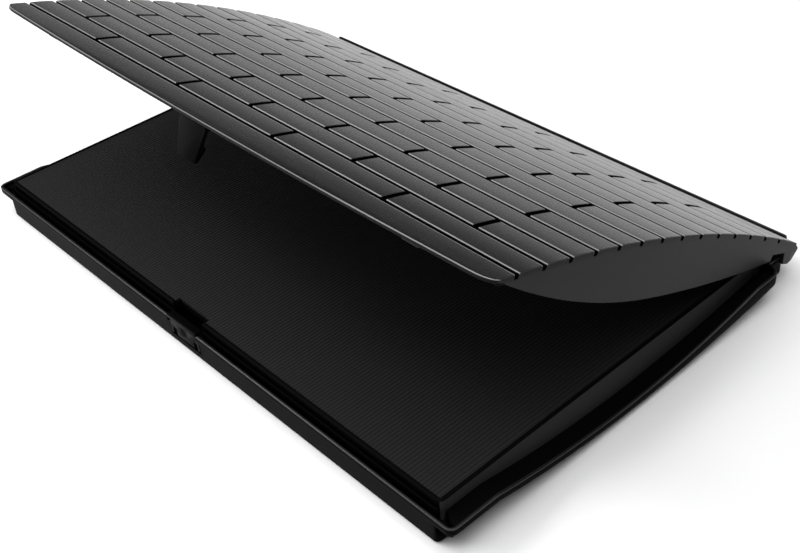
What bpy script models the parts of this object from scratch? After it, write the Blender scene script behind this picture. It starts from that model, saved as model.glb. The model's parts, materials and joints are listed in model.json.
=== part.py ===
"""A folding slant board: a shallow moulded tray with a ribbed mat, and an arched deck that
hinges on the tray's rear edge, stays where it is put and latches down at the front.

X runs along the hinge, Y from the free front edge (-) to the hinge edge (+), Z up.
The origin is on the floor under the middle of the tray. All sizes are in metres.
"""

import math

import bmesh
import bpy
from mathutils import Matrix

# Tray
WALL_X = 0.217  # half the length between the outer faces of the two end walls
WALL_FRONT = -0.1535  # outer face of the front wall
WALL_REAR = 0.1515  # outer face of the rear wall
TRAY_BOTTOM = 0.0012  # the rubber feet hold the tray this far off the floor
PLATFORM_X = 0.216
PLATFORM_FRONT = -0.149
PLATFORM_REAR = 0.124
PLATFORM_TOP = 0.027
SKIN = 0.0025  # moulded wall of the tray
MAT_RECESS = 0.0245  # floor of the recess that holds the mat

# Rim and the two end ledges that the deck's skirts drop onto
RIM_X = 0.229
RIM_FRONT = -0.155
RIM_REAR = 0.155
RIM_TOP = 0.0205
REAR_RIM_TOP = 0.0234  # the wall behind the deck stands higher
RIM_WIDTH = 0.002
RIM_CORNER = 0.005
LEDGE_END = 0.128
DIP_Y = -0.009  # the end rims dip in an arc that is lowest here
DIP_HALF = 0.112
DIP_LOW = 0.0094
LIP = 0.0024  # the rim stands at least this far above the ledge

# Deck
HINGE_Y = 0.142
HINGE_Z = 0.0195
OPENING = math.radians(23.7)  # from closed to the pose in which the board is modelled
DECK_X = 0.2224
DECK_FRONT_Y = -0.1455
DECK_FRONT_Z = 0.0332
DECK_REAR_Y = 0.1486
DECK_CORNER_X = 0.013  # each front corner is rounded by this much along the edge
DECK_CORNER_Y = 0.005  # and this much across it
DECK_REAR_Z = 0.0274
DECK_RISE = 0.0132  # height of the arch over the line from front to rear edge
DECK_BOW = 0.0045  # how far the front edge bows out in plan
DECK_THICK = 0.004
GROOVES = 14
GROOVE_FIRST_Y = -0.1292
GROOVE_PITCH = 0.01937
GROOVE_WIDTH = 0.002
GROOVE_DEPTH = 0.0014
PLANK_LENGTH = 0.0896
JOINT_DEPTH = 0.0011
JOINT_X = -0.0026  # one cross joint of the odd rows
SKIRT_INNER_X = 0.2194
SKIRT_FRONT = -0.137
SKIRT_LOW_Y = -0.004
SKIRT_LOW_Z = 0.0083
SKIRT_RISE_FRONT = 1.30  # rise of the skirt's lower edge, per metre squared
SKIRT_RISE_REAR = 0.55
BOSS_RADIUS = 0.008

# Hinge
PIN_RADIUS = 0.0025
LUG_RADIUS = 0.0043
LUG_INNER_X = 0.205

# Latch
TONGUE_TOP_X = 0.013
TONGUE_TIP_X = 0.008
TONGUE_FRONT = -0.149
TONGUE_REAR = -0.1465
TONGUE_TIP_Z = 0.0075
TONGUE_FOOT_Z = 0.0276
SLOT_X = 0.0152  # half the width of the opening in the tray for the tongue and catch
SLOT_REAR = -0.1437
CATCH_X = 0.0146
CATCH_PIVOT_Y = -0.1515
CATCH_PIVOT_Z = 0.009
CATCH_TOP = 0.0218
CATCH_PIN_RADIUS = 0.001
CATCH_BOSS_RADIUS = 0.002

GAP = 0.0003  # left between pieces that touch
PLUS = 0.001  # by which joined shapes run into each other and cutters run past


def clear_scene():
    for item in list(bpy.data.objects):
        bpy.data.objects.remove(item, do_unlink=True)


def collection(name):
    made = bpy.data.collections.new(name)
    bpy.context.scene.collection.children.link(made)
    return made


def material(name, colour, roughness, metallic=0.0):
    made = bpy.data.materials.new(name)
    made.use_nodes = True
    shader = made.node_tree.nodes["Principled BSDF"]
    shader.inputs["Base Color"].default_value = (*colour, 1.0)
    shader.inputs["Roughness"].default_value = roughness
    shader.inputs["Metallic"].default_value = metallic
    return made


def place(name, mesh, parent=None):
    """A new object for a mesh, in the cutters until it is kept as a piece."""
    made = bpy.data.objects.new(name, mesh)
    CUTTERS.objects.link(made)
    made.hide_render = True
    made.display_type = "WIRE"
    made.parent = parent
    return made


def keep(made, finish):
    """Moves an object from the cutters to the board's pieces and gives it its material."""
    CUTTERS.objects.unlink(made)
    PIECES.objects.link(made)
    made.hide_render = False
    made.display_type = "TEXTURED"
    made.data.materials.clear()
    made.data.materials.append(finish)
    made.data.shade_smooth()
    made.data.set_sharp_from_angle(angle=math.radians(30))
    return made


def box(name, low, high, parent=None):
    """A box between two corners."""
    size = [b - a for a, b in zip(low, high)]
    middle = [(a + b) / 2 for a, b in zip(low, high)]
    shape = bmesh.new()
    matrix = Matrix.Translation(middle) @ Matrix.Diagonal((*size, 1.0))
    bmesh.ops.create_cube(shape, size=1.0, matrix=matrix)
    return finish_mesh(name, shape, parent)


def rod(name, radius, start, end, axis="X", sides=24, top_radius=None, parent=None):
    """A cylinder or cone from start along X or Z to the coordinate end."""
    x, y, z = start
    length = end - (x if axis == "X" else z)
    shape = bmesh.new()
    turn = Matrix.Rotation(math.pi / 2, 4, "Y") if axis == "X" else Matrix.Identity(4)
    along = (length / 2, 0, 0) if axis == "X" else (0, 0, length / 2)
    bmesh.ops.create_cone(
        shape,
        cap_ends=True,
        segments=sides,
        radius1=radius,
        radius2=radius if top_radius is None else top_radius,
        depth=abs(length),
        matrix=Matrix.Translation((x + along[0], y, z + along[2])) @ turn,
    )
    return finish_mesh(name, shape, parent)


def finish_mesh(name, shape, parent):
    mesh = bpy.data.meshes.new(name)
    shape.to_mesh(mesh)
    shape.free()
    return place(name, mesh, parent)


def plate(name, outline, start, end, axis="X", parent=None):
    """A flat outline made as a filled curve and carried along an axis from start to end.

    Along X the outline's points are (y, z), along Y they are (z, x), along Z (x, y).
    """
    curve = bpy.data.curves.new(name, "CURVE")
    curve.dimensions = "2D"
    curve.fill_mode = "BOTH"
    curve.extrude = abs(end - start) / 2
    spline = curve.splines.new("POLY")
    spline.points.add(len(outline) - 1)
    for point, (u, v) in zip(spline.points, outline):
        point.co = (u, v, 0.0, 1.0)
    spline.use_cyclic_u = True
    flat = bpy.data.objects.new(name + "_outline", curve)
    bpy.context.scene.collection.objects.link(flat)
    evaluated = flat.evaluated_get(bpy.context.evaluated_depsgraph_get())
    mesh = bpy.data.meshes.new_from_object(evaluated)
    bpy.data.objects.remove(flat, do_unlink=True)
    turns = {
        "X": Matrix(((0, 0, 1, 0), (1, 0, 0, 0), (0, 1, 0, 0), (0, 0, 0, 1))),
        "Y": Matrix(((0, 1, 0, 0), (0, 0, 1, 0), (1, 0, 0, 0), (0, 0, 0, 1))),
        "Z": Matrix.Identity(4),
    }
    middle = (start + end) / 2
    shift = {"X": (middle, 0, 0), "Y": (0, middle, 0), "Z": (0, 0, middle)}[axis]
    mesh.transform(Matrix.Translation(shift) @ turns[axis])
    shape = bmesh.new()
    shape.from_mesh(mesh)
    bmesh.ops.remove_doubles(shape, verts=shape.verts, dist=1e-6)
    bmesh.ops.recalc_face_normals(shape, faces=shape.faces)
    shape.to_mesh(mesh)
    shape.free()
    mesh.name = name
    return place(name, mesh, parent)


def combine(target, tools, operation):
    for tool in tools if isinstance(tools, (list, tuple)) else [tools]:
        step = target.modifiers.new(operation.lower() + "_" + tool.name, "BOOLEAN")
        step.operation = operation
        step.object = tool
        step.solver = "EXACT"
    return target


def join(target, tools):
    return combine(target, tools, "UNION")


def cut(target, tools):
    return combine(target, tools, "DIFFERENCE")


def spread(first, last, count):
    return [first + (last - first) * i / (count - 1) for i in range(count)]


def rounded_rectangle(x0, x1, y0, y1, radius, steps=6):
    """Corner arcs of a rectangle, anticlockwise from the lower right one."""
    corners = ((x1, y0, -90), (x1, y1, 0), (x0, y1, 90), (x0, y0, 180))
    points = []
    for x, y, turn in corners:
        cx = x - math.copysign(radius, x - (x0 + x1) / 2)
        cy = y - math.copysign(radius, y - (y0 + y1) / 2)
        for angle in spread(math.radians(turn), math.radians(turn + 90), steps + 1):
            points.append((cx + radius * math.cos(angle), cy + radius * math.sin(angle)))
    return points


def rim_height(y):
    """Top of the end rims: level, with a parabolic dip."""
    dip = DIP_LOW + (RIM_TOP - DIP_LOW) * ((y - DIP_Y) / DIP_HALF) ** 2
    return min(RIM_TOP, dip)


def skirt_edge(y):
    """Lower edge of the deck's skirts with the deck closed: two parabolas."""
    rise = SKIRT_RISE_FRONT if y < SKIRT_LOW_Y else SKIRT_RISE_REAR
    return SKIRT_LOW_Z + rise * (y - SKIRT_LOW_Y) ** 2


def ledge_height(y):
    """Top of the ledge: under the skirt's edge, and below the rim."""
    return min(skirt_edge(y) - 0.001, rim_height(y) - LIP)


def arch_height(y):
    """Top of the deck's planks, closed: a circle through its front and rear edges."""
    span_y = DECK_REAR_Y - DECK_FRONT_Y
    span_z = DECK_REAR_Z - DECK_FRONT_Z
    chord = math.hypot(span_y, span_z)
    radius = chord**2 / (8 * DECK_RISE) + DECK_RISE / 2
    drop = radius - DECK_RISE
    centre_y = (DECK_FRONT_Y + DECK_REAR_Y) / 2 + drop * span_z / chord
    centre_z = (DECK_FRONT_Z + DECK_REAR_Z) / 2 - drop * span_y / chord
    return centre_z + math.sqrt(radius**2 - (y - centre_y) ** 2)


def opened(y, z, angle=OPENING):
    """Where a point of the closed deck goes when the deck is opened by an angle."""
    dy = y - HINGE_Y
    dz = z - HINGE_Z
    return (
        HINGE_Y + dy * math.cos(angle) + dz * math.sin(angle),
        HINGE_Z - dy * math.sin(angle) + dz * math.cos(angle),
    )


def closed_box(name, low, high):
    """A box given where it is with the deck closed, and carried by the deck."""
    shift = (0, HINGE_Y, HINGE_Z)
    low = [a - b for a, b in zip(low, shift)]
    high = [a - b for a, b in zip(high, shift)]
    return box(name, low, high, DECK_FRAME)


def closed_plate(name, outline, start, end):
    """An outline of (y, z) points given with the deck closed, and carried by the deck."""
    local = [(y - HINGE_Y, z - HINGE_Z) for y, z in outline]
    return plate(name, local, start, end, "X", DECK_FRAME)


def closed_rod(name, radius, start, end, axis="X", **options):
    x, y, z = start
    end = end if axis == "X" else end - HINGE_Z
    place_at = (x, y - HINGE_Y, z - HINGE_Z)
    return rod(name, radius, place_at, end, axis, parent=DECK_FRAME, **options)


def mirrored_names():
    return (("left", -1), ("right", 1))


def span(side, a, b):
    """The X stretch from a to b, or its mirror image, low end first."""
    return sorted((side * a, side * b))


def tray_body():
    """Walls, platform, rim with its dipping end ledges, and rear rim, still solid."""
    walls = plate(
        "base_tray",
        rounded_rectangle(-WALL_X, WALL_X, WALL_FRONT, WALL_REAR, 0.007),
        TRAY_BOTTOM,
        0.017,
        "Z",
    )
    platform = box(
        "platform",
        (-PLATFORM_X, PLATFORM_FRONT, 0.006),
        (PLATFORM_X, PLATFORM_REAR, PLATFORM_TOP),
    )
    stations = spread(RIM_FRONT, LEDGE_END, 37)
    band = [(y, rim_height(y)) for y in stations]
    band += [(y, ledge_height(y) - SKIN) for y in reversed(stations)]
    rim = plate("rim_band", band, -RIM_X, RIM_X)
    rim_plan = plate(
        "rim_plan",
        rounded_rectangle(-RIM_X, RIM_X, RIM_FRONT, LEDGE_END, RIM_CORNER),
        0.0,
        0.03,
        "Z",
    )
    combine(rim, rim_plan, "INTERSECT")
    rear_rim = plate(
        "rear_rim",
        rounded_rectangle(-WALL_X + PLUS, WALL_X - PLUS, 0.146, RIM_REAR, 0.0025, 3),
        0.013,
        REAR_RIM_TOP,
        "Z",
    )
    return join(walls, [rim, platform, rear_rim])


def channel_cutters():
    """The front channel, in two runs beside the latch, and the two end channels."""
    tools = []
    stations = spread(RIM_FRONT + 0.003, LEDGE_END + PLUS, 33)
    floor = [(y, ledge_height(y)) for y in stations]
    sky = [(stations[-1], 0.06), (stations[0], 0.06)]
    for label, side in mirrored_names():
        low, high = span(side, PLATFORM_X, RIM_X - RIM_WIDTH)
        tools.append(plate("end_channel_" + label, floor + sky, low, high))
        low, high = span(side, 0.0155, RIM_X - RIM_WIDTH)
        front = (RIM_FRONT + 0.003, PLATFORM_FRONT)
        tools.append(
            box("front_channel_" + label, (low, front[0], 0.012), (high, front[1], 0.06))
        )
    return tools


def make_tray(finish):
    tray = tray_body()
    cut(tray, channel_cutters())
    cavity = [
        (PLATFORM_FRONT + 0.004, -0.01),
        (PLATFORM_FRONT + 0.004, MAT_RECESS - SKIN),
        (PLATFORM_REAR - 0.004, MAT_RECESS - SKIN),
        (PLATFORM_REAR - 0.004, 0.0115),
        (WALL_REAR - 0.0035, 0.0115),
        (WALL_REAR - 0.0035, -0.01),
    ]
    hollow = plate("underside_hollow", cavity, -WALL_X + 0.004, WALL_X - 0.004)
    recess = box(
        "mat_recess",
        (-PLATFORM_X + 0.002, PLATFORM_FRONT + 0.002, MAT_RECESS),
        (PLATFORM_X - 0.002, PLATFORM_REAR - 0.002, 0.06),
    )
    trough = box(
        "rear_trough",
        (-WALL_X + 0.004, PLATFORM_REAR, 0.014),
        (WALL_X - 0.004, RIM_REAR - 0.0022, 0.06),
    )
    clearance = box(
        "deck_edge_clearance",
        (-WALL_X - PLUS, 0.1285, 0.0165),
        (WALL_X + PLUS, RIM_REAR - 0.0022, 0.06),
    )
    slot = box("latch_slot", (-SLOT_X, -0.16, 0.0055), (SLOT_X, SLOT_REAR, 0.06))
    pin_bore = rod(
        "catch_pin_bore",
        CATCH_PIN_RADIUS + 0.0001,
        (-0.0202, CATCH_PIVOT_Y, CATCH_PIVOT_Z),
        0.0202,
        sides=20,
    )
    cut(tray, [hollow, recess, trough, clearance])
    join(tray, latch_well() + tray_ribs() + screw_bosses() + hinge_lugs())
    cut(tray, [slot, pin_bore])
    for label, side in mirrored_names():
        hole = rod(
            "pin_hole_" + label,
            PIN_RADIUS + 0.0001,
            (side * (LUG_INNER_X - PLUS), HINGE_Y, HINGE_Z),
            side * (WALL_X + PLUS),
        )
        cut(tray, hole)
    for name, x, y in plate_screw_places():
        cut(tray, rod("boss_hole_" + name, 0.0014, (x, y, 0.0), 0.0135, "Z", 12))
    return keep(tray, finish)


def latch_well():
    """A block behind the front wall that closes the latch opening off from the hollow."""
    return [box("latch_well", (-0.0185, -0.146, 0.0044), (0.0185, -0.1405, 0.0235))]


def tray_ribs():
    """Upright ribs under the platform, which carry the load down to the bottom plate."""
    ribs = []
    top = MAT_RECESS - SKIN + PLUS
    for i, x in enumerate((-0.144, -0.072, 0.0, 0.072, 0.144)):
        low = (x - 0.001, -0.1395 if x == 0.0 else -0.1445, 0.0044)
        ribs.append(box(f"long_rib_{i}", low, (x + 0.001, PLATFORM_REAR - 0.0035, top)))
    for i, y in enumerate((-0.085, -0.020, 0.065)):
        low = (-WALL_X + 0.0035, y - 0.001, 0.0044)
        ribs.append(box(f"cross_rib_{i}", low, (WALL_X - 0.0035, y + 0.001, top)))
    return ribs


def plate_screw_places():
    places = []
    for row, y in (("front", -0.112), ("rear", 0.100)):
        for column, x in (("left", -0.160), ("middle", 0.0), ("right", 0.160)):
            places.append((row + "_" + column, x, y))
    return places


def screw_bosses():
    top = MAT_RECESS - SKIN + PLUS
    places = plate_screw_places()
    return [rod("screw_boss_" + n, 0.0035, (x, y, 0.0044), top, "Z", 20) for n, x, y in places]


def hinge_lugs():
    """Round-topped lugs inside the rear corners, which hold the hinge pins."""
    lugs = []
    for label, side in mirrored_names():
        low, high = span(side, LUG_INNER_X, WALL_X)
        arc = [
            (HINGE_Y + LUG_RADIUS * math.cos(a), HINGE_Z + LUG_RADIUS * math.sin(a))
            for a in spread(0.0, math.pi, 13)
        ]
        foot = [(HINGE_Y - LUG_RADIUS, 0.0105), (HINGE_Y + LUG_RADIUS, 0.0105)]
        lugs.append(plate("hinge_lug_" + label, arc + foot, low, high))
    return lugs


def make_bottom_plate(finish, screw_finish):
    low = (-WALL_X + 0.0043, PLATFORM_FRONT + 0.0043, TRAY_BOTTOM + GAP)
    high = (WALL_X - 0.0043, WALL_REAR - 0.0038, 0.0041)
    floor = box("bottom_plate", low, high)
    for name, x, y in plate_screw_places():
        sink = rod("plate_sink_" + name, 0.0033, (x, y, 0.0), 0.0030, "Z", 20)
        hole = rod("plate_hole_" + name, 0.0014, (x, y, 0.0), 0.006, "Z", 12)
        cut(floor, [sink, hole])
        head = rod("plate_screw_" + name, 0.0029, (x, y, 0.0016), 0.0027, "Z", 20)
        shank = rod("plate_shank_" + name, 0.0011, (x, y, 0.0022), 0.0130, "Z", 12)
        keep(join(head, shank), screw_finish)
    return keep(floor, finish)


def make_feet(finish):
    names = (("left", -0.190), ("middle", 0.0), ("right", 0.190))
    for row, y in (("front", -0.125), ("rear", 0.125)):
        for column, x in names:
            foot = rod(
                f"foot_{row}_{column}",
                0.0085,
                (x, y, 0.0),
                TRAY_BOTTOM,
                "Z",
                sides=32,
                top_radius=0.009,
            )
            keep(foot, finish)


def make_mat(finish):
    mat = box(
        "base_mat",
        (-PLATFORM_X + 0.0026, PLATFORM_FRONT + 0.0024, MAT_RECESS + GAP),
        (PLATFORM_X - 0.0026, PLATFORM_REAR - 0.0024, PLATFORM_TOP - 0.0004),
    )
    notch = box("latch_notch", (-0.0156, -0.16, 0.0), (0.0156, SLOT_REAR + GAP, 0.06))
    return keep(cut(mat, notch), finish)


def make_hinge(pin_finish, washer_finish):
    for label, side in mirrored_names():
        pin = rod(
            "hinge_pin_" + label,
            PIN_RADIUS,
            (side * (LUG_INNER_X - 0.001), HINGE_Y, HINGE_Z),
            side * 0.2212,
        )
        head = rod(
            "pin_head_" + label,
            0.0038,
            (side * (LUG_INNER_X - 0.0025), HINGE_Y, HINGE_Z),
            side * (LUG_INNER_X - GAP),
        )
        keep(join(pin, head), pin_finish)
        washer = rod(
            "friction_washer_" + label,
            0.0043,
            (side * (WALL_X + GAP), HINGE_Y, HINGE_Z),
            side * 0.2187,
        )
        bore = rod(
            "washer_bore_" + label,
            PIN_RADIUS + GAP,
            (side * (WALL_X - PLUS), HINGE_Y, HINGE_Z),
            side * 0.2220,
        )
        keep(cut(washer, bore), washer_finish)


def deck_outline():
    """The arched plate from the side, with its grooves cut into the upper line."""
    points = [(DECK_FRONT_Y - DECK_BOW - PLUS, arch_height(DECK_FRONT_Y - DECK_BOW - PLUS))]
    for i in range(GROOVES):
        middle = GROOVE_FIRST_Y + GROOVE_PITCH * i
        for y, depth in (
            (middle - GROOVE_WIDTH / 2, 0.0),
            (middle - GROOVE_WIDTH / 2, GROOVE_DEPTH),
            (middle + GROOVE_WIDTH / 2, GROOVE_DEPTH),
            (middle + GROOVE_WIDTH / 2, 0.0),
        ):
            points.append((y, arch_height(y) - depth))
    points.append((DECK_REAR_Y - 0.001, arch_height(DECK_REAR_Y - 0.001)))
    points.append((DECK_REAR_Y, arch_height(DECK_REAR_Y) - 0.0008))
    for y in spread(DECK_REAR_Y, points[0][0], 25):
        points.append((y, arch_height(y) - DECK_THICK))
    return points


def deck_plan():
    """The deck from above: a bowed front edge with rounded corners, a straight rear edge."""
    half = DECK_X
    turn = [DECK_CORNER_X * (1 - math.cos(math.radians(angle))) for angle in (0, 22, 45, 67)]
    between = spread(DECK_CORNER_X - half, half - DECK_CORNER_X, 27)
    front = []
    for x in [t - half for t in turn] + list(between) + [half - t for t in reversed(turn)]:
        bow = DECK_BOW * (1 - (x / half) ** 2)
        corner = min(1.0, max(0.0, abs(x) - (half - DECK_CORNER_X)) / DECK_CORNER_X)
        round_off = DECK_CORNER_Y * (1 - math.sqrt(1 - corner**2))
        front.append((x, DECK_FRONT_Y - bow + round_off - HINGE_Y))
    rear = DECK_REAR_Y + PLUS - HINGE_Y
    return front + [(half, rear), (-half, rear)]


def make_deck(finish):
    deck = closed_plate("deck", deck_outline(), -DECK_X, DECK_X)
    stations = spread(SKIRT_FRONT, 0.1335, 33)
    side_view = [(y, max(skirt_edge(y), 0.0)) for y in stations]
    side_view += [(0.1335, HINGE_Z), (DECK_REAR_Y - 0.001, HINGE_Z)]
    side_view += [(y, arch_height(y) - 0.002) for y in spread(DECK_REAR_Y - 0.001, SKIRT_FRONT, 25)]
    side_view = [(y, min(z, arch_height(y) - 0.002)) for y, z in side_view]
    for label, side in mirrored_names():
        low, high = span(side, SKIRT_INNER_X, DECK_X)
        skirt = closed_plate("skirt_" + label, side_view[1:-1], low, high)
        boss = closed_rod(
            "hinge_boss_" + label,
            BOSS_RADIUS,
            (side * (SKIRT_INNER_X - 0.0004), HINGE_Y, HINGE_Z),
            side * DECK_X,
            sides=40,
        )
        join(deck, [skirt, boss])
    cut(deck, cross_joints())
    plan = plate("deck_plan", deck_plan(), -0.03, 0.06, "Z", DECK_FRAME)
    combine(deck, plan, "INTERSECT")
    for label, side in mirrored_names():
        bore = closed_rod(
            "boss_bore_" + label,
            PIN_RADIUS + 0.0001,
            (side * (SKIRT_INNER_X - 0.002), HINGE_Y, HINGE_Z),
            side * 0.2214,
        )
        cut(deck, bore)
    pocket = closed_plate("tongue_pocket", tongue_foot(0.0), -0.0123, 0.0123)
    cut(deck, pocket)
    cut(deck, [hole for hole in deck_screw_holes()])
    return keep(deck, finish)


def cross_joints():
    """Cuts across the planks in a running bond: each row is half a length off its neighbours."""
    shape = bmesh.new()
    for row in range(1, GROOVES):
        front = GROOVE_FIRST_Y + GROOVE_PITCH * (row - 1)
        rear = front + GROOVE_PITCH
        slope = math.atan2(arch_height(rear) - arch_height(front), GROOVE_PITCH)
        top = arch_height((front + rear) / 2) - HINGE_Z
        shift = PLANK_LENGTH / 2 if row % 2 else 0.0
        for column in range(-3, 3):
            x = JOINT_X + shift + PLANK_LENGTH * column
            if abs(x) < DECK_X - 0.01:
                middle = Matrix.Translation((x, (front + rear) / 2 - HINGE_Y, top))
                size = Matrix.Diagonal((GROOVE_WIDTH, GROOVE_PITCH, 2 * JOINT_DEPTH, 1.0))
                turned = middle @ Matrix.Rotation(slope, 4, "X") @ size
                bmesh.ops.create_cube(shape, size=1.0, matrix=turned)
    return finish_mesh("cross_joints", shape, DECK_FRAME)


def tongue_foot(inset):
    """Side view of the tongue's foot, or of the pocket it lies in when inset is 0."""
    ceiling = DECK_THICK - 0.0015
    rear = -0.1355 - inset
    front = TONGUE_FRONT - (0.0004 if inset == 0 else 0)
    low = TONGUE_FOOT_Z if inset else TONGUE_FOOT_Z - 0.004
    return [
        (front, low),
        (rear, low),
        (rear, arch_height(rear) - ceiling - inset),
        (front, arch_height(front) - ceiling - inset),
    ]


def tongue_screw_places():
    return [("left", -0.008, -0.1405), ("right", 0.008, -0.1405)]


def make_tongue(finish, screw_finish):
    """The latch tongue: a tapering blade with a barb on its rear side, and a screwed foot."""
    foot = closed_plate("latch_tongue", tongue_foot(GAP), -TONGUE_TOP_X + PLUS, TONGUE_TOP_X - PLUS)
    side_view = [
        (TONGUE_FRONT, TONGUE_TIP_Z),
        (TONGUE_REAR, TONGUE_TIP_Z),
        (-0.1441, 0.0150),
        (-0.1441, 0.0165),
        (TONGUE_REAR, 0.0190),
        (TONGUE_REAR, TONGUE_FOOT_Z + PLUS),
        (TONGUE_FRONT, TONGUE_FOOT_Z + PLUS),
    ]
    blade = closed_plate("tongue_blade", side_view, -TONGUE_TOP_X, TONGUE_TOP_X)
    top = TONGUE_FOOT_Z + 0.003 - HINGE_Z
    tip = TONGUE_TIP_Z - PLUS - HINGE_Z
    front_view = [(tip, -TONGUE_TIP_X), (top, -TONGUE_TOP_X), (top, TONGUE_TOP_X), (tip, TONGUE_TIP_X)]
    taper = plate("tongue_taper", front_view, -0.300, -0.280, "Y", DECK_FRAME)
    combine(blade, taper, "INTERSECT")
    join(foot, blade)
    for label, x, y in tongue_screw_places():
        hole = closed_rod("tongue_hole_" + label, 0.0016, (x, y, 0.020), 0.04, "Z", sides=12)
        cut(foot, hole)
    keep(foot, finish)
    for label, x, y in tongue_screw_places():
        screw = closed_rod(
            "tongue_screw_" + label, 0.0013, (x, y, TONGUE_FOOT_Z), 0.0314, "Z", sides=12
        )
        keep(screw, screw_finish)


def deck_screw_holes():
    """Blind holes in the deck's underside for the tongue's screws."""
    places = tongue_screw_places()
    return [
        closed_rod("deck_hole_" + n, 0.0016, (x, y, 0.020), 0.0317, "Z", sides=12)
        for n, x, y in places
    ]


def coil(name, middle_x):
    """A short coil of wire around the catch's pin: a flat disc of wire section, wound round."""
    turns = 4
    wire = 0.00022
    radius = CATCH_PIN_RADIUS + 0.0003 + wire
    pitch = 0.0007
    start = middle_x - turns * pitch / 2
    shape = bmesh.new()
    where = Matrix.Translation((start, CATCH_PIVOT_Y + radius, CATCH_PIVOT_Z))
    bmesh.ops.create_circle(shape, cap_ends=True, segments=6, radius=wire, matrix=where)
    bmesh.ops.spin(
        shape,
        geom=shape.verts[:] + shape.edges[:] + shape.faces[:],
        cent=(0.0, CATCH_PIVOT_Y, CATCH_PIVOT_Z),
        axis=(1.0, 0.0, 0.0),
        dvec=(pitch / 14, 0.0, 0.0),
        angle=math.radians(360 * turns),
        steps=14 * turns,
        use_duplicate=False,
    )
    bmesh.ops.recalc_face_normals(shape, faces=shape.faces)
    return finish_mesh(name, shape, None)


def make_catch(finish, steel_finish):
    """A rocker in the front wall: a tab over the rim, a pivot boss, and a thumb dent."""
    boss = [
        (CATCH_PIVOT_Y + CATCH_BOSS_RADIUS * math.cos(a), CATCH_PIVOT_Z + CATCH_BOSS_RADIUS * math.sin(a))
        for a in spread(-math.pi / 2, math.pi / 3, 11)
    ]
    side_view = [(-0.1536, CATCH_PIVOT_Z - CATCH_BOSS_RADIUS)] + boss + [
        (-0.1519, 0.0135),
        (-0.1519, CATCH_TOP - 0.0018),
        (-0.1494, CATCH_TOP - 0.0018),
        (-0.1494, CATCH_TOP - 0.0006),
        (-0.1500, CATCH_TOP),
        (-0.1545, CATCH_TOP),
        (-0.1550, CATCH_TOP - 0.0005),
        (-0.1550, CATCH_TOP - 0.0026),
        (-0.1536, CATCH_TOP - 0.0041),
    ]
    local = [(y - CATCH_PIVOT_Y, z - CATCH_PIVOT_Z) for y, z in side_view]
    catch = plate("release_catch", local, -CATCH_X, CATCH_X, "X", CATCH_FRAME)
    dent = bmesh.new()
    where = Matrix.Translation((0.0, -0.162 - CATCH_PIVOT_Y, 0.0140 - CATCH_PIVOT_Z))
    bmesh.ops.create_uvsphere(dent, u_segments=40, v_segments=20, radius=0.0092, matrix=where)
    bore = rod("catch_bore", CATCH_PIN_RADIUS + 0.0002, (-0.02, 0, 0), 0.02, sides=20, parent=CATCH_FRAME)
    cut(catch, [finish_mesh("thumb_dent", dent, CATCH_FRAME), bore])
    for label, side in mirrored_names():
        low, high = span(side, 0.0088, 0.0126)
        cut(catch, box("spring_seat_" + label, (low, -0.0022, -0.003), (high, 0.003, 0.003), CATCH_FRAME))
        keep(coil("catch_spring_" + label, side * 0.0107), steel_finish)
    keep(catch, finish)
    pin = rod(
        "catch_pin",
        CATCH_PIN_RADIUS,
        (-0.0198, CATCH_PIVOT_Y, CATCH_PIVOT_Z),
        0.0198,
        sides=20,
    )
    keep(pin, steel_finish)


def make_bumpers(finish):
    """Soft pads under the deck's front corners, which meet the mat when it closes."""
    for label, side in mirrored_names():
        outline = [
            (-0.1405, PLATFORM_TOP),
            (-0.1305, PLATFORM_TOP),
            (-0.1305, arch_height(-0.1305) - DECK_THICK - GAP),
            (-0.1405, arch_height(-0.1405) - DECK_THICK - GAP),
        ]
        low, high = span(side, 0.160, 0.172)
        keep(closed_plate("lid_bumper_" + label, outline, low, high), finish)


def make_frames():
    """Empties on the two joint axes: the deck's hinge and the catch's pivot."""
    deck_frame = bpy.data.objects.new("deck_axis", None)
    deck_frame.location = (0.0, HINGE_Y, HINGE_Z)
    deck_frame.rotation_euler = (-OPENING, 0.0, 0.0)
    catch_frame = bpy.data.objects.new("catch_axis", None)
    catch_frame.location = (0.0, CATCH_PIVOT_Y, CATCH_PIVOT_Z)
    for frame in (deck_frame, catch_frame):
        PIECES.objects.link(frame)
    return deck_frame, catch_frame


clear_scene()
PIECES = collection("slant_board")
CUTTERS = collection("cutters")
DECK_FRAME, CATCH_FRAME = make_frames()

shell = material("black_shell", (0.012, 0.012, 0.013), 0.38)
inner = material("black_inner_plastic", (0.016, 0.016, 0.017), 0.5)
rubber = material("black_rubber", (0.009, 0.009, 0.010), 0.8)
woven = material("ribbed_mat", (0.010, 0.010, 0.011), 0.7)
steel = material("zinc_steel", (0.55, 0.55, 0.56), 0.35, 1.0)

make_tray(shell)
make_bottom_plate(inner, steel)
make_feet(rubber)
make_mat(woven)
make_hinge(steel, inner)
make_deck(shell)
make_tongue(inner, steel)
make_catch(inner, steel)
make_bumpers(rubber)
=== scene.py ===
"""A folding slant board: ribbed-mat tray, arched plank deck hinged at its rear edge, latch.

X runs along the hinge, Y from the free front edge (-) to the hinge (+), Z up, in metres.
"""

import itertools
import json
import math

import bmesh
import bpy
import numpy as np
from mathutils import Matrix, Vector

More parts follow.
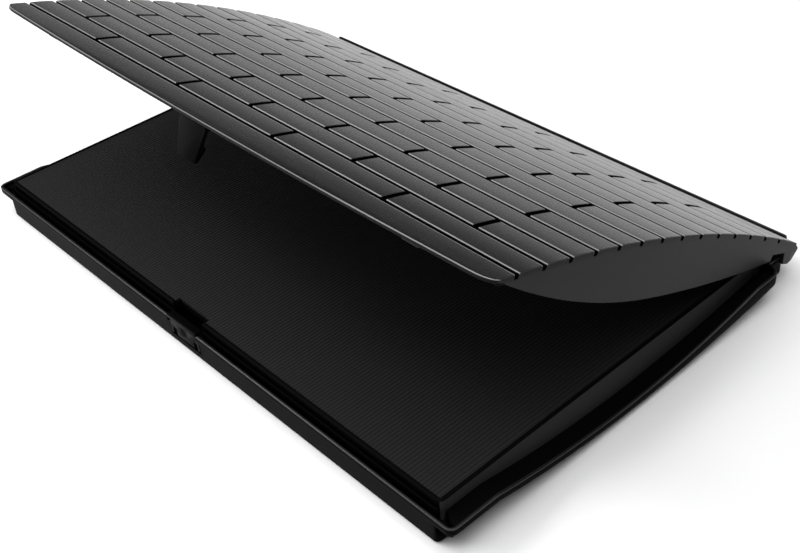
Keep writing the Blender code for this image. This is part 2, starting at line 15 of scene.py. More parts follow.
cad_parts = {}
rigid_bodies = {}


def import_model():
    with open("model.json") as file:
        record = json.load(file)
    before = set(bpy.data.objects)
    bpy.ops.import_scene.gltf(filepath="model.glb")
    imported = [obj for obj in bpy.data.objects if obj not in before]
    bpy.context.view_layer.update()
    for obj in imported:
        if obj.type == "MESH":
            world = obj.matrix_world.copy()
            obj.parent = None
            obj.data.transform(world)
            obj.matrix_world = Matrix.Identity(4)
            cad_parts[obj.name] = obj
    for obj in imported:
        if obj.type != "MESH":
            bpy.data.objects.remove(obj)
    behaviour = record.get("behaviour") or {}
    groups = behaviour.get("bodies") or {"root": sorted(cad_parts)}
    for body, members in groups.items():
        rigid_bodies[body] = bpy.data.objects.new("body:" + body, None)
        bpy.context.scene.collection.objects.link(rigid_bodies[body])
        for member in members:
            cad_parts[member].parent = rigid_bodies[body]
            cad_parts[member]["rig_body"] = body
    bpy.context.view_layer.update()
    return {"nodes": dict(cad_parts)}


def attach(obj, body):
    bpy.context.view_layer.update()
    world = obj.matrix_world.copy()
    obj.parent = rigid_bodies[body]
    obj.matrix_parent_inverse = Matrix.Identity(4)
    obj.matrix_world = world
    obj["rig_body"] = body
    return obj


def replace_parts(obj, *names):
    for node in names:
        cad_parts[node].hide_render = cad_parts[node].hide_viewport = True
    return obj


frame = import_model()

MM = 0.001
SHARP_ANGLE = math.radians(38)  # edges turning more than this are shaded sharp
FLAT_ANGLE = math.radians(3)  # triangles turning less than this are joined
ROUND_ANGLE = math.radians(30)  # edges turning more than this are rounded

# Driving sizes, all in millimetres
HINGE_Y, HINGE_Z = 142.0, 19.5
OPENING = math.radians(23.7)
TRAY_X, TRAY_FRONT, TRAY_REAR = 217.0, -153.5, 151.5
TRAY_BOTTOM = 1.2
PLATFORM_X, PLATFORM_FRONT, PLATFORM_REAR, PLATFORM_TOP = 216.0, -149.0, 124.0, 27.0
RIM_X, RIM_FRONT, RIM_REAR, RIM_TOP = 229.0, -155.0, 155.0, 20.5
RIM_STEP = 118.0  # from here back the end rims turn in to the wall
DIP_LOW, DIP_Y, DIP_HALF = 9.4, -9.0, 112.0
DECK_X, DECK_FRONT, DECK_REAR = 222.4, -145.5, 148.6
DECK_FRONT_Z, DECK_REAR_Z, DECK_RISE, DECK_BOW = 33.2, 27.4, 13.2, 4.5
GROOVES, GROOVE_FIRST, GROOVE_PITCH = 14, -129.2, 19.37
PLANK_LENGTH, JOINT_X = 89.6, -2.6
SKIRT_LOW_Y, SKIRT_LOW_Z = -4.0, 8.3


# ---------------------------------------------------------------- mesh helpers


def smooth_step(a, b, v):
    """0 below a, 1 above b, and 3t^2 - 2t^3 between."""
    t = np.clip((v - a) / (b - a), 0.0, 1.0)
    return t * t * (3.0 - 2.0 * t)


def make_piece(name, points, faces, finish, body):
    """An object from points in millimetres and a list of face index arrays."""
    mesh = bpy.data.meshes.new(name)
    quads = [row for block in faces for row in np.asarray(block).tolist()]
    mesh.from_pydata((np.asarray(points, float) * MM).tolist(), [], quads)
    mesh.validate()
    mesh.shade_smooth()
    mesh.set_sharp_from_angle(angle=SHARP_ANGLE)
    mesh.materials.append(finish)
    piece = bpy.data.objects.new(name, mesh)
    bpy.context.scene.collection.objects.link(piece)
    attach(piece, body)
    return piece


def grid_faces(rows, columns, closed_columns=False, start=0, flip=False):
    """Quads of a grid of points stored row by row; closed columns join last to first."""
    r = np.arange(rows - 1)
    c = np.arange(columns if closed_columns else columns - 1)
    r, c = np.meshgrid(r, c, indexing="ij")
    r1, c1 = r + 1, (c + 1) % columns
    quads = np.stack(
        [r * columns + c, r * columns + c1, r1 * columns + c1, r1 * columns + c], axis=-1
    ).reshape(-1, 4)
    return (quads[:, ::-1] if flip else quads) + start


def opened(points):
    """Turns closed-deck points (x, y, z) about the hinge by the opening: y and z rotate."""
    points = np.asarray(points, float)
    dy, dz = points[..., 1] - HINGE_Y, points[..., 2] - HINGE_Z
    c, s = math.cos(OPENING), math.sin(OPENING)
    return np.stack([points[..., 0], HINGE_Y + dy * c + dz * s, HINGE_Z - dy * s + dz * c], -1)


# ---------------------------------------------------------------- shader helpers

RUB_ROUGHNESS = 0.05  # what a rub adds to a plastic's roughness
RIB_PITCH, CROSS_PITCH = 0.0024, 0.0013  # metres, on the mat


class Value:
    """A shader socket that adds Math nodes when it is used in an expression."""

    def __init__(self, sheet, socket):
        self.sheet, self.socket = sheet, socket

    def _math(self, operation, *inputs):
        return self.sheet.node(
            "ShaderNodeMath", {"operation": operation}, dict(enumerate(inputs))
        )

    def __add__(self, other):
        return self._math("ADD", self, other)

    __radd__ = __add__

    def __mul__(self, other):
        return self._math("MULTIPLY", self, other)

    __rmul__ = __mul__

    def __sub__(self, other):
        return self._math("SUBTRACT", self, other)

    def __rsub__(self, other):
        return self._math("SUBTRACT", other, self)

    def sine(self):
        return self._math("SINE", self)

    def clamped(self):
        return self.sheet.node(
            "ShaderNodeMath", {"operation": "ADD", "use_clamp": True}, {0: self, 1: 0.0}
        )


class Finish:
    """One material and its nodes."""

    def __init__(self, name, colour, roughness, metallic=0.0):
        self.material = bpy.data.materials.new(name)
        self.material.use_nodes = True
        self.tree = self.material.node_tree
        self.shader = self.tree.nodes["Principled BSDF"]
        self.shader.inputs["Base Color"].default_value = (*colour, 1.0)
        self.shader.inputs["Roughness"].default_value = roughness
        self.shader.inputs["Metallic"].default_value = metallic

    def node(self, kind, settings=None, inputs=None, output=0):
        made = self.tree.nodes.new(kind)
        for key, value in (settings or {}).items():
            setattr(made, key, value)
        for key, value in (inputs or {}).items():
            self.put(made.inputs[key], value)
        return Value(self, made.outputs[output])

    def put(self, socket, value):
        if isinstance(value, Value):
            self.tree.links.new(value.socket, socket)
        else:
            socket.default_value = value

    def set(self, name, value):
        self.put(self.shader.inputs[name], value)

    def place(self):
        return self.node("ShaderNodeTexCoord", output=3)

    def axes(self, vector):
        split = self.node("ShaderNodeSeparateXYZ", {}, {0: vector})
        outputs = split.socket.node.outputs
        return [Value(self, outputs[i]) for i in range(3)]

    def noise(self, vector, scale, detail=3.0, roughness=0.55):
        inputs = {"Vector": vector, "Scale": scale, "Detail": detail, "Roughness": roughness}
        return self.node("ShaderNodeTexNoise", {}, inputs)

    def spread(self, vector, x, y, z):
        """The same place with each way multiplied, which stretches a pattern."""
        settings = {"operation": "MULTIPLY"}
        return self.node("ShaderNodeVectorMath", settings, {0: vector, 1: (x, y, z)})

    def shade(self, mask, dark, light):
        """A colour between two, by a mask."""
        inputs = {0: mask, 6: (*dark, 1.0), 7: (*light, 1.0)}
        return self.node("ShaderNodeMix", {"data_type": "RGBA"}, inputs, output=2)

    def bump(self, height, distance):
        inputs = {"Height": height, "Distance": distance, "Strength": 1.0}
        self.set("Normal", self.node("ShaderNodeBump", {}, inputs))


def grained_plastic(name, dark, light, roughness, specular, grain=0.00005):
    """Moulded plastic: fine spark-eroded grain (its depth in metres), a slow drift between
    two colours and in gloss, and faint rubs."""
    finish = Finish(name, light, roughness)
    place = finish.place()
    grain_height = finish.noise(place, 1500.0, 2.0)
    pits = finish.noise(place, 600.0, 3.0)
    flow = finish.noise(finish.spread(place, 3.0, 9.0, 9.0), 1.0, 4.0)
    rubs = finish.noise(finish.spread(place, 900.0, 60.0, 60.0), 1.0, 2.0)
    rub_mask = (rubs - 0.62).clamped() * 2.0
    finish.set("Base Color", finish.shade(flow, dark, light))
    gloss = (flow - 0.5) * 0.12 + roughness + (pits - 0.5) * 0.08
    finish.set("Roughness", gloss + rub_mask * RUB_ROUGHNESS)
    finish.bump(grain_height * 0.6 + pits * 0.4, grain)
    finish.set("Specular IOR Level", specular)
    return finish.material


def ribbed_mat(name):
    """Fine ribs from front to rear, a sine of x, with a faint cross wave, a sine of y. The
    colour is painted darker down in the valleys as shade, with random flecks.
    """
    finish = Finish(name, (0.006, 0.006, 0.0065), 0.62)
    place = finish.place()
    x, y, _ = finish.axes(place)
    wander = finish.noise(place, 60.0, 2.0)
    rib = ((x + wander * 0.0005) * (2.0 * math.pi / RIB_PITCH)).sine()
    cross = ((y + wander * 0.0006) * (2.0 * math.pi / CROSS_PITCH)).sine()
    height = rib * 0.46 + cross * 0.05 + 0.5
    fleck = finish.noise(place, 1500.0, 2.0)
    worn = finish.noise(place, 14.0, 4.0)
    # Colour follows rib height: painted shade in the valleys, plus random flecks.
    mask = (height * 0.7 + fleck * 0.5 - 0.2).clamped()
    finish.set("Base Color", finish.shade(mask, (0.0060, 0.0060, 0.0063), (0.0175, 0.0175, 0.0180)))
    finish.set("Roughness", 0.66 + (worn - 0.5) * 0.16 - height * 0.08)
    finish.bump(height + fleck * 0.35, 0.00028)
    finish.set("Specular IOR Level", 0.12)
    return finish.material


def plain_rubber(name):
    """Soft matt rubber with a dusty bloom."""
    finish = Finish(name, (0.009, 0.009, 0.010), 0.8)
    place = finish.place()
    bloom = finish.noise(place, 120.0, 4.0)
    finish.set("Base Color", finish.shade(bloom, (0.006, 0.006, 0.007), (0.02, 0.02, 0.021)))
    finish.set("Roughness", 0.72 + bloom * 0.16)
    finish.bump(finish.noise(place, 1800.0, 2.0), 0.00004)
    return finish.material


def plated_steel(name):
    """Zinc-plated steel with turning marks round each screw and pin."""
    finish = Finish(name, (0.55, 0.55, 0.56), 0.34, 1.0)
    place = finish.place()
    marks = finish.noise(finish.spread(place, 300.0, 300.0, 3000.0), 1.0, 2.0)
    finish.set("Base Color", finish.shade(marks, (0.42, 0.42, 0.43), (0.62, 0.62, 0.61)))
    finish.set("Roughness", 0.28 + marks * 0.16)
    finish.bump(marks, 0.00002)
    return finish.material


deck_plastic = grained_plastic(
    "deck_plastic", (0.005, 0.005, 0.0053), (0.009, 0.009, 0.0094), 0.24, 0.38, 0.00007
)
# Near black, matt and without specular: painted shade inside the grooves and joints.
painted_groove_shade = grained_plastic(
    "painted_groove_shade", (0.0008, 0.0008, 0.0008), (0.0014, 0.0014, 0.0014), 0.8, 0.0
)
# Much lighter and glossier than the deck: a painted highlight along the groove lips and the front
# edge.
painted_edge_highlight = grained_plastic(
    "painted_edge_highlight", (0.13, 0.13, 0.13), (0.26, 0.26, 0.26), 0.35, 0.5
)
# A lighter, glossier copy of the tray plastic for the rim's top: the lighter colour is painted
# light.
rim_painted_light = grained_plastic(
    "rim_painted_light", (0.007, 0.007, 0.0073), (0.011, 0.011, 0.0113), 0.3, 0.25
)
# A lighter copy of the tray plastic for the platform's end sides: painted reflection of the pale
# floor.
side_painted_reflection = grained_plastic(
    "side_painted_reflection", (0.022, 0.022, 0.0225), (0.030, 0.030, 0.0305), 0.5, 0.02
)
skirt_plastic = grained_plastic(
    "skirt_plastic", (0.005, 0.005, 0.0053), (0.008, 0.008, 0.0083), 0.4, 0.1
)
tray_plastic = grained_plastic(
    "tray_plastic", (0.0016, 0.0016, 0.0018), (0.0029, 0.0029, 0.0031), 0.4, 0.008
)
latch_plastic = grained_plastic(
    "latch_plastic", (0.0012, 0.0012, 0.0014), (0.0022, 0.0022, 0.0024), 0.36, 0.02
)
mat_rubber = ribbed_mat("ribbed_mat")
foot_rubber = plain_rubber("foot_rubber")
steel = plated_steel("plated_steel")


# ---------------------------------------------------------------- deck


def arch(y):
    """Top of the planks with the deck closed: a circle through the front and rear edges."""
    span_y, span_z = DECK_REAR - DECK_FRONT, DECK_REAR_Z - DECK_FRONT_Z
    chord = math.hypot(span_y, span_z)
    radius = chord**2 / (8 * DECK_RISE) + DECK_RISE / 2
    drop = radius - DECK_RISE
    centre_y = (DECK_FRONT + DECK_REAR) / 2 + drop * span_z / chord
    centre_z = (DECK_FRONT_Z + DECK_REAR_Z) / 2 - drop * span_y / chord
    return centre_z + np.sqrt(radius**2 - (y - centre_y) ** 2)


def skirt_edge(y):
    """Lower edge of the skirts, closed: two parabolas, steeper towards the front."""
    rise = np.where(y < SKIRT_LOW_Y, 1.30e-3, 0.55e-3)
    return SKIRT_LOW_Z + rise * (y - SKIRT_LOW_Y) ** 2


def channel(distance, half, depth):
    """Depth of a channel, by distance from its middle: flat floor, sides that ease over."""
    return depth * (1.0 - smooth_step(half - CHANNEL_EASE, half + CHANNEL_EASE, np.abs(distance)))


def lines_round(centres, offsets, low, high, extra):
    """Sorted grid lines: a cluster at each centre, plus evenly spread ones between."""
    clustered = (np.asarray(centres)[:, None] + np.asarray(offsets)[None, :]).ravel()
    lines = np.concatenate([clustered, extra, [low, high]])
    lines = np.unique(np.round(lines[(lines >= low) & (lines <= high)], 3))
    keep = np.concatenate([[True], np.diff(lines) > 0.1])
    return lines[keep]


GROOVE_LINES = GROOVE_FIRST + GROOVE_PITCH * np.arange(GROOVES)
ODD_JOINTS = JOINT_X + PLANK_LENGTH * np.arange(-2, 3)
EVEN_JOINTS = JOINT_X + PLANK_LENGTH * (np.arange(-2, 2) + 0.5)
GROOVE_HALF, GROOVE_DEPTH = 1.5, 2.4
JOINT_HALF, JOINT_DEPTH = 1.75, 1.7
CHANNEL_EASE = 0.25  # half the width over which a groove's side rises
PLANK_CROWN = 0.30  # drop of a plank's edges below its middle
EDGE_ROLL = 0.35  # radius of the deck's outer edges
LEAD = 8.2  # depth of the front strip of the grid, which follows the bowed edge
CORNER_X, CORNER_Y = 13.0, 5.0  # rounding of the front corners, along and across the edge
LIP_STEPS = np.array([-0.25, -0.12, 0.0, 0.12, 0.25, 0.65])


def channel_steps(half):
    """Grid lines across a channel: a cluster at each lip."""
    return np.concatenate([-(half + LIP_STEPS)[::-1], half + LIP_STEPS])


def plank_relief(x, y):
    """How far the deck's surface lies under the arch: long grooves, cross joints that run
    from groove to groove (odd rows at the odd places, even rows at the even), and a crown
    that lets each plank's edges down by the fifth power of the distance from its middle."""
    groove = channel(y[..., None] - GROOVE_LINES, GROOVE_HALF, GROOVE_DEPTH).max(-1)
    row = np.floor((y - GROOVE_FIRST) / GROOVE_PITCH).astype(int)
    within = (row >= 0) & (row < GROOVES - 1)
    odd = channel(x[..., None] - ODD_JOINTS, JOINT_HALF, JOINT_DEPTH).max(-1)
    even = channel(x[..., None] - EVEN_JOINTS, JOINT_HALF, JOINT_DEPTH).max(-1)
    across = np.where(row % 2 == 1, odd, even) * within
    crown = PLANK_CROWN * (2.0 * np.abs((y - GROOVE_FIRST) / GROOVE_PITCH - row - 0.5)) ** 5
    return np.maximum(groove, across) + crown


def deck_front_line(x):
    """The free edge in plan: bowed out, and drawn back round each corner."""
    bow = DECK_BOW * (1.0 - (x / DECK_X) ** 2)
    corner = np.clip((np.abs(x) - (DECK_X - CORNER_X)) / CORNER_X, 0.0, 1.0)
    return DECK_FRONT - bow + CORNER_Y * (1.0 - np.sqrt(1.0 - corner**2))


def make_deck_top():
    """The planks: a grid over the deck's plan, let down from the arch by the relief, with
    its edges rolled over. The underside is 4 below the arch, and 2 at the front edge. Faces
    in the grooves get a near-black matt finish, painted shade; a band beside each groove
    and along the front edge gets a lighter, glossier finish, a painted highlight; the sides
    take the skirts' finish."""
    near_end = np.geomspace(0.15, 14, 12)
    x = lines_round(
        np.concatenate([ODD_JOINTS, EVEN_JOINTS]),
        channel_steps(JOINT_HALF),
        -DECK_X,
        DECK_X,
        np.concatenate([np.linspace(-DECK_X, DECK_X, 24), DECK_X - near_end, near_end - DECK_X]),
    )
    y = lines_round(
        GROOVE_LINES,
        channel_steps(GROOVE_HALF),
        DECK_FRONT + LEAD,
        DECK_REAR,
        np.linspace(DECK_FRONT + LEAD, DECK_REAR, 32),
    )
    front = np.linspace(0.0, 1.0, 8)[:-1]
    grid_x = np.broadcast_to(x[None, :], (len(front) + len(y), len(x)))
    edge = deck_front_line(x)
    lead = edge[None, :] + (DECK_FRONT + LEAD - edge)[None, :] * (front**1.5)[:, None]
    grid_y = np.concatenate([lead, np.broadcast_to(y[:, None], (len(y), len(x)))])
    height = arch(grid_y) - plank_relief(grid_x, grid_y)
    from_front = grid_y - edge[None, :]
    from_end = DECK_X - np.abs(grid_x)
    from_rear = DECK_REAR - grid_y
    nearest = np.minimum(np.minimum(from_front, from_end), from_rear)
    roll = np.clip(1.0 - nearest / EDGE_ROLL, 0.0, 1.0)
    height = height - EDGE_ROLL * (1.0 - np.sqrt(1.0 - roll**2))
    top = np.stack([grid_x, grid_y, height], -1)
    thickness = 4.0 - 2.0 * (1.0 - smooth_step(0.0, 9.0, from_front))
    under = np.stack([grid_x, grid_y, arch(grid_y) - thickness], -1)
    rows, columns = grid_x.shape
    count = rows * columns
    loop = np.concatenate([
        np.arange(columns),
        np.arange(1, rows) * columns + columns - 1,
        (rows - 1) * columns + np.arange(columns - 2, -1, -1),
        np.arange(rows - 2, 0, -1) * columns,
    ])
    after = np.roll(loop, -1)
    wall = np.stack([loop, loop + count, after + count, after], -1)
    points = opened(np.concatenate([top.reshape(-1, 3), under.reshape(-1, 3)]))
    faces = [grid_faces(rows, columns), grid_faces(rows, columns, start=count, flip=True), wall]
    deck = make_piece("plank_deck", points, faces, deck_plastic, "lid")
    middle_x, middle_y = ((g[1:, 1:] + g[:-1, :-1]) / 2 for g in (grid_x, grid_y))
    from_groove = np.abs(middle_y[..., None] - GROOVE_LINES).min(-1)
    # Faces sunk more than 0.3 take the near-black painted groove shade.
    sunk = plank_relief(middle_x, middle_y) > 0.3
    # Faces just beside each groove and along the front edge take the painted highlight.
    lip = (from_groove > GROOVE_HALF + 0.1) & (from_groove < GROOVE_HALF + 0.6) & ~sunk
    lip |= from_front[1:, 1:] < 0.8
    top_slots = np.where(sunk, 2, np.where(lip, 3, 0)).ravel()
    slots = np.zeros(len(deck.data.polygons), np.int32)
    slots[:len(top_slots)] = top_slots
    slots[-len(wall):] = 1
    for finish in (skirt_plastic, painted_groove_shade, painted_edge_highlight):
        deck.data.materials.append(finish)
    deck.data.polygons.foreach_set("material_index", slots)
    return deck


SKIRT_THICK = 3.0
NOTCH_FRONT, NOTCH_Z = 122.0, 21.3
HEEL_Y = [136.5, 139.5, 146.0, 149.0, 151.0, 152.6]  # the heel's lower line
HEEL_Z = [NOTCH_Z, 13.6, 13.2, 15.0, 19.0, 22.4]
TAIL_Y = [147.6, 149.6, 151.6, 152.6]  # where the skirt's upper line drops to meet it
TAIL_Z = [25.4, 24.2, 22.9]


def make_skirt(name, side):
    """A skirt: a slab whose upper line follows the arch from below and whose lower line is
    the skirt's edge, with rounded lips, a notch over the tray's rim and a heel behind it."""
    y = np.concatenate([np.linspace(-141.0, 136.0, 180), np.linspace(136.4, 152.6, 42)])
    top = arch(np.clip(y, None, DECK_REAR)) - 3.0
    low = skirt_edge(y)
    low = np.where(y > NOTCH_FRONT, np.maximum(low, NOTCH_Z), low)
    low = np.where(y > 136.0, np.minimum(low, np.interp(y, HEEL_Y, HEEL_Z)), low)
    tail_z = np.interp(y, TAIL_Y, [top[y < TAIL_Y[0]][-1], *TAIL_Z])
    top = np.where(y > TAIL_Y[0], tail_z, top)
    low = np.minimum(low, top - 0.3)
    inner, outer = DECK_X - SKIRT_THICK, DECK_X - 0.04
    lip = 0.5
    ring = [
        (inner + lip, low), (outer - lip, low), (outer - 0.15, low + 0.15), (outer, low + lip),
        (outer, top), (inner, top), (inner, low + lip), (inner + 0.15, low + 0.15),
    ]
    points = np.stack([np.stack([np.full_like(y, side * x), y, z], -1) for x, z in ring], 1)
    rows, columns = points.shape[:2]
    faces = [grid_faces(rows, columns, closed_columns=True, flip=side < 0)]
    caps = [np.arange(columns)[None, ::-1], ((rows - 1) * columns + np.arange(columns))[None, :]]
    faces += [cap[:, ::-1] if side < 0 else cap for cap in caps]
    return make_piece(name, opened(points.reshape(-1, 3)), faces, skirt_plastic, "lid")


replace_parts(make_deck_top(), "deck")
make_skirt("skirt_right", 1)
make_skirt("skirt_left", -1)


# ---------------------------------------------------------------- tray


def rim_height(y):
    """Top of the rim: level, with a parabolic dip along each end."""
    dip = DIP_LOW + (RIM_TOP - DIP_LOW) * ((y - DIP_Y) / DIP_HALF) ** 2
    return np.minimum(RIM_TOP, dip)


def ledge_height(y):
    """Floor of the end channels: under the skirt's edge, and under the rim."""
    return np.minimum(skirt_edge(y) - 1.8, rim_height(y) - 2.4)


CORNER = np.linspace(0.0, math.pi / 2, 11)[1:-1]
REAR_RIM = 23.4  # top of the wall behind the deck
BEHIND_TOP, BEHIND_FLOOR, BEHIND_UNDER = 16.3, 14.0, 13.2  # end walls behind the end rims
FRONT_FLOOR = 12.0  # floor of the channel along the front
MAT_SEAT = 24.5  # floor of the recess that holds the mat
FRONT_TURN, REAR_TURN = -150.2, 143.5  # where the end sides start and stop
SIDE_Y = np.unique(np.concatenate([
    np.linspace(FRONT_TURN, REAR_TURN, 90), np.linspace(116.0, 131.0, 26)]))


def half_rail(side_x, side_y, front, rear, front_round, rear_round):
    """The right half of a rounded rectangle, from the front's middle to the rear's: front
    line, elliptical corner, end side, elliptical corner, rear line."""
    x_front, y_front = side_x[0], side_y[0]
    x_rear, y_rear = side_x[-1], side_y[-1]
    line = np.linspace(0.0, 1.0, 30)
    parts = [
        (line * (x_front - front_round), np.full(30, front)),
        (x_front - front_round + front_round * np.sin(CORNER),
         y_front - (y_front - front) * np.cos(CORNER)),
        (side_x, side_y),
        (x_rear - rear_round + rear_round * np.cos(CORNER),
         y_rear + (rear - y_rear) * np.sin(CORNER)),
        (line[::-1] * (x_rear - rear_round), np.full(30, rear)),
    ]
    return np.concatenate([np.column_stack(part) for part in parts])


def inset(rail, distance):
    """The rail moved inwards by a distance along its own normals."""
    mirrored = np.concatenate([rail[1:2] * [-1, 1], rail, rail[-2:-1] * [-1, 1]])
    along = mirrored[2:] - mirrored[:-2]
    along /= np.linalg.norm(along, axis=1)[:, None]
    return rail + np.stack([-along[:, 1], along[:, 0]], -1) * distance


def make_tray():
    """A profile carried round the tray: up the wall, out under the rim, over its rounded lip,
    down to the channel floor, up the platform's side, and over into the mat's recess. Where
    the end rims stop, their rings run together on the wall."""
    turn = np.clip((SIDE_Y - RIM_STEP) / 10.0, 0.0, 1.0)
    rim_x = TRAY_X + 0.3 + (RIM_X - TRAY_X - 0.3) * np.sqrt(1.0 - turn**2)
    low_y, high_y = PLATFORM_FRONT + 3.5, PLATFORM_REAR - 3.0
    turns = [FRONT_TURN, -135.0, 112.0, REAR_TURN]
    plat_y = np.interp(SIDE_Y, turns, [low_y, -135.0, 112.0, high_y])
    wall = half_rail(np.full_like(SIDE_Y, TRAY_X), SIDE_Y, TRAY_FRONT, TRAY_REAR, 3.0, 8.0)
    rim = half_rail(rim_x, SIDE_Y, RIM_FRONT, RIM_REAR, 4.8, 6.0)
    plat_x = np.full_like(SIDE_Y, PLATFORM_X)
    plat = half_rail(plat_x, plat_y, PLATFORM_FRONT, PLATFORM_REAR, 3.5, 3.0)
    y = rim[:, 1]
    behind = smooth_step(127.4, 128.6, y)
    rear_line = smooth_step(215.6, 213.6, rim[:, 0]) * (y > 150.0)
    top = rim_height(y) * (1 - behind) + BEHIND_TOP * behind
    top = top + (REAR_RIM - BEHIND_TOP) * rear_line * behind
    front_line = smooth_step(-150.0, -152.5, y)
    floor = ledge_height(y) * (1 - behind) + BEHIND_FLOOR * behind
    floor = floor * (1 - front_line) + FRONT_FLOOR * front_line
    under = ledge_height(y) - 2.4
    under = under * (1 - behind) + BEHIND_UNDER * behind
    rings = [
        (inset(wall, 3.2), 21.0), (inset(wall, 3.0), 1.6), (inset(wall, 2.7), TRAY_BOTTOM),
        (inset(wall, 0.5), TRAY_BOTTOM), (inset(wall, 0.12), TRAY_BOTTOM + 0.15),
        (wall, TRAY_BOTTOM + 0.6), (wall, under - 1.0), (inset(wall, -0.1), under - 0.35),
        (None, under), (inset(rim, 0.5), under + 0.05), (inset(rim, 0.12), under + 0.25),
        (rim, under + 0.7), (rim, top - 0.7), (inset(rim, 0.12), top - 0.22),
        (inset(rim, 0.5), top), (inset(rim, 1.3), top), (inset(rim, 1.75), top - 0.2),
        (inset(rim, 1.95), top - 0.7), (inset(rim, 2.05), floor + 0.7),
        (inset(rim, 2.4), floor + 0.15), (inset(rim, 3.0), floor),
        (inset(plat, -0.9), floor), (inset(plat, -0.3), floor + 0.15), (plat, floor + 0.8),
        (plat, PLATFORM_TOP - 0.6), (inset(plat, 0.15), PLATFORM_TOP - 0.18),
        (inset(plat, 0.55), PLATFORM_TOP), (inset(plat, 1.55), PLATFORM_TOP),
        (inset(plat, 1.9), PLATFORM_TOP - 0.3), (inset(plat, 2.0), MAT_SEAT + 0.2),
        (inset(plat, 6.0), MAT_SEAT),
    ]
    layers = []
    for rail, z in rings:
        if rail is None:
            rail = inset(wall, -0.6)
        layers.append(np.column_stack([rail, np.broadcast_to(z, len(rail))]))
    for i in range(12, 21):  # no ring of the rim or channel crosses the platform's side
        near = (layers[i][:, 1] > -148.0) & (layers[i][:, 1] < 129.5)
        least = PLATFORM_X + 1.0 - 0.04 * (i - 12)
        layers[i][:, 0] = np.where(near, np.maximum(layers[i][:, 0], least), layers[i][:, 0])
    half = np.stack(layers)
    half[:, 0, 0] = 0.0
    half[:, -1, 0] = 0.0
    left = half[:, -2:0:-1] * [-1, 1, 1]
    points = np.concatenate([half, left], axis=1)
    rows, columns = points.shape[:2]
    faces = [grid_faces(rows, columns, closed_columns=True)]
    faces.append(np.arange(columns)[None, ::-1])
    faces.append(((rows - 1) * columns + np.arange(columns))[None, :])
    tray = make_piece("moulded_tray", points.reshape(-1, 3), faces, tray_plastic, "base")
    ring = np.arange((rows - 1) * columns) // columns
    slots = np.zeros(len(tray.data.polygons), np.int32)
    # at_end picks the platform's end sides for the lighter side copy, painted reflection.
    at_end = np.abs(points[:-1, :, 0]).ravel() > PLATFORM_X - 1.5
    # Rows 12 to 15, the rim's top, take the lighter rim copy, painted light.
    slots[:len(ring)] = np.select([(ring > 11) & (ring < 16), (ring == 23) & at_end], [1, 2], 0)
    tray.data.materials.append(rim_painted_light)
    tray.data.materials.append(side_painted_reflection)
    tray.data.polygons.foreach_set("material_index", slots)
    return tray


def box_mesh(low, high):
    """A box between two corners, for cutting with."""
    corners = np.array(list(itertools.product(*zip(low, high))))
    faces = [(0, 1, 3, 2), (4, 6, 7, 5), (0, 4, 5, 1), (2, 3, 7, 6), (0, 2, 6, 4), (1, 5, 7, 3)]
    mesh = bpy.data.meshes.new("cutter")
    mesh.from_pydata((corners * MM).tolist(), [], faces)
    cutter = bpy.data.objects.new("cutter", mesh)
    bpy.context.scene.collection.objects.link(cutter)
    return cutter


def take_away(piece, cutter):
    """Cuts one shape out of a piece for good."""
    step = piece.modifiers.new("cut", "BOOLEAN")
    step.operation, step.object, step.solver = "DIFFERENCE", cutter, "EXACT"
    step.use_self = True
    bpy.context.view_layer.update()
    ready = piece.evaluated_get(bpy.context.evaluated_depsgraph_get())
    mesh = bpy.data.meshes.new_from_object(ready)
    piece.modifiers.clear()
    piece.data = mesh
    bpy.data.objects.remove(cutter)


def extruded(name, outline, start, end, finish, body):
    """A flat (y, z) outline carried along X from start to end, with both ends closed."""
    outline = np.asarray(outline, float)
    count = len(outline)
    ends = [np.column_stack([np.full(count, x), outline]) for x in (start, end)]
    first = np.arange(count)[None, :]
    faces = [grid_faces(2, count, closed_columns=True, flip=True), first[:, ::-1], first + count]
    return make_piece(name, np.concatenate(ends), faces, finish, body)


LATCH_OPENING = ((-15.2, -160.0, 5.5), (15.2, -143.7, 60.0))
LUG_ROUND, LUG_FOOT, LUG_INNER, LUG_OUTER = 4.3, 12.0, 206.0, 216.9

tray = make_tray()
take_away(tray, box_mesh(*LATCH_OPENING))
round_top = np.linspace(0.0, math.pi, 25)
lug = np.column_stack([
    HINGE_Y + LUG_ROUND * np.cos(round_top), HINGE_Z + LUG_ROUND * np.sin(round_top)])
lug = np.concatenate([lug, [[HINGE_Y - LUG_ROUND, LUG_FOOT], [HINGE_Y + LUG_ROUND, LUG_FOOT]]])
extruded("hinge_lug_left", lug, -LUG_OUTER, -LUG_INNER, tray_plastic, "base")
extruded("hinge_lug_right", lug, LUG_INNER, LUG_OUTER, tray_plastic, "base")


# ---------------------------------------------------------------- smaller pieces


def soften(node, finish, width):
    """A copy of a plain part with its loose triangles joined and its edges rounded."""
    source = frame["nodes"][node]
    mesh = source.data.copy()
    shape = bmesh.new()
    shape.from_mesh(mesh)
    bmesh.ops.remove_doubles(shape, verts=shape.verts, dist=0.00001)
    bmesh.ops.dissolve_limit(shape, angle_limit=FLAT_ANGLE, verts=shape.verts, edges=shape.edges)
    shape.to_mesh(mesh)
    shape.free()
    mesh.materials.clear()
    mesh.materials.append(finish)
    mesh.shade_smooth()
    piece = bpy.data.objects.new(node + "_finished", mesh)
    bpy.context.scene.collection.objects.link(piece)
    rounding = piece.modifiers.new("rounding", "BEVEL")
    rounding.width, rounding.segments = width * MM, 2
    rounding.limit_method, rounding.angle_limit = "ANGLE", ROUND_ANGLE
    rounding.harden_normals = True
    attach(piece, source["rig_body"])
    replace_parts(piece, node)
    return piece


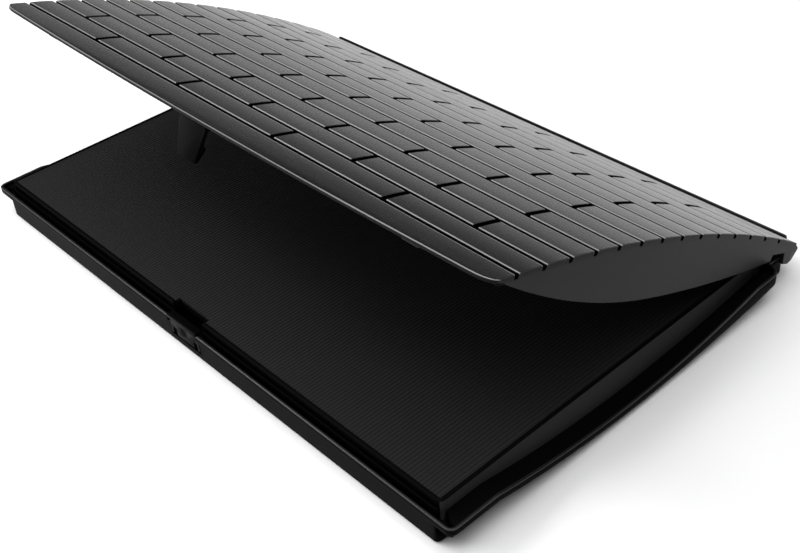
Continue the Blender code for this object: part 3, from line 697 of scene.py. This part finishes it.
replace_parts(tray, "base_tray")
soften("latch_tongue", latch_plastic, 0.35)
soften("release_catch", latch_plastic, 0.3)
soften("bottom_plate", tray_plastic, 0.4)
for label in ("left", "right"):
    soften("lid_bumper_" + label, foot_rubber, 0.8)
    soften("friction_washer_" + label, latch_plastic, 0.15)

for node, part in frame["nodes"].items():
    if node.startswith("foot_"):
        finish = foot_rubber
    elif node == "base_mat":
        finish = mat_rubber
    elif node.startswith("catch_"):
        finish = latch_plastic
    elif "screw" in node or "pin" in node:
        finish = steel
    else:
        continue
    part.data.materials.clear()
    part.data.materials.append(finish)


# ---------------------------------------------------------------- floor, light and camera


def make_floor():
    """A plain pale sheet to stand on."""
    corners = [(-6.0, -6.0, 0.0), (6.0, -6.0, 0.0), (6.0, 6.0, 0.0), (-6.0, 6.0, 0.0)]
    mesh = bpy.data.meshes.new("floor")
    mesh.from_pydata(corners, [], [(0, 1, 2, 3)])
    floor = bpy.data.objects.new("floor", mesh)
    paper = Finish("pale_floor", (0.93, 0.93, 0.93), 0.75)
    mesh.materials.append(paper.material)
    bpy.context.scene.collection.objects.link(floor)


def make_light(name, place, aim, size, watts):
    """A soft square light at a place, facing another."""
    lamp = bpy.data.lights.new(name, "AREA")
    lamp.shape = "RECTANGLE"
    lamp.size, lamp.size_y = size
    lamp.energy = watts
    light = bpy.data.objects.new(name, lamp)
    light.location = place
    light.rotation_euler = (Vector(aim) - Vector(place)).to_track_quat("-Z", "Y").to_euler()
    bpy.context.scene.collection.objects.link(light)


def make_camera():
    """Stands off the front right corner, looking down over it to the far left."""
    right = Vector((0.67964, 0.73066, -0.06501))
    up = Vector((-0.41159, 0.45320, 0.79070))
    back = right.cross(up)
    lens = bpy.data.cameras.new("camera")
    lens.lens = 53.87
    lens.sensor_width = 36.0
    camera = bpy.data.objects.new("camera", lens)
    turn = Matrix((right, up, back)).transposed().to_4x4()
    camera.matrix_world = Matrix.Translation((0.5112, -0.4111, 0.4705)) @ turn
    bpy.context.scene.collection.objects.link(camera)
    bpy.context.scene.camera = camera


def make_surroundings():
    """A room that is bright at the level of the floor and dim higher up: the strength falls
    from the horizon's to the ceiling's as the direction's height passes a band."""
    world = bpy.data.worlds.new("studio")
    world.use_nodes = True
    nodes, links = world.node_tree.nodes, world.node_tree.links
    direction = nodes.new("ShaderNodeTexCoord")
    split = nodes.new("ShaderNodeSeparateXYZ")
    band = nodes.new("ShaderNodeMapRange")
    band.interpolation_type = "SMOOTHSTEP"
    for key, value in ((1, 0.0), (2, 0.24), (3, 1.0), (4, 0.06)):  # heights, then strengths
        band.inputs[key].default_value = value
    links.new(direction.outputs["Generated"], split.inputs[0])
    links.new(split.outputs["Z"], band.inputs[0])
    links.new(band.outputs[0], nodes["Background"].inputs["Strength"])
    nodes["Background"].inputs["Color"].default_value = (1.0, 1.0, 1.0, 1.0)
    bpy.context.scene.world = world


make_floor()
make_light("overhead", (0.2, -0.3, 3.0), (0.0, 0.0, 0.0), (4.0, 4.0), 128.0)
make_light("edge_strip", (-1.55, -0.76, 1.88), (0.0, 0.0, 0.1), (0.7, 0.7), 22.0)
make_light("rim_light", (-1.25, -1.35, 1.0), (0.0, 0.0, 0.05), (0.8, 0.5), 15.0)
make_surroundings()
bpy.context.scene.view_settings.view_transform = "Standard"
make_camera()
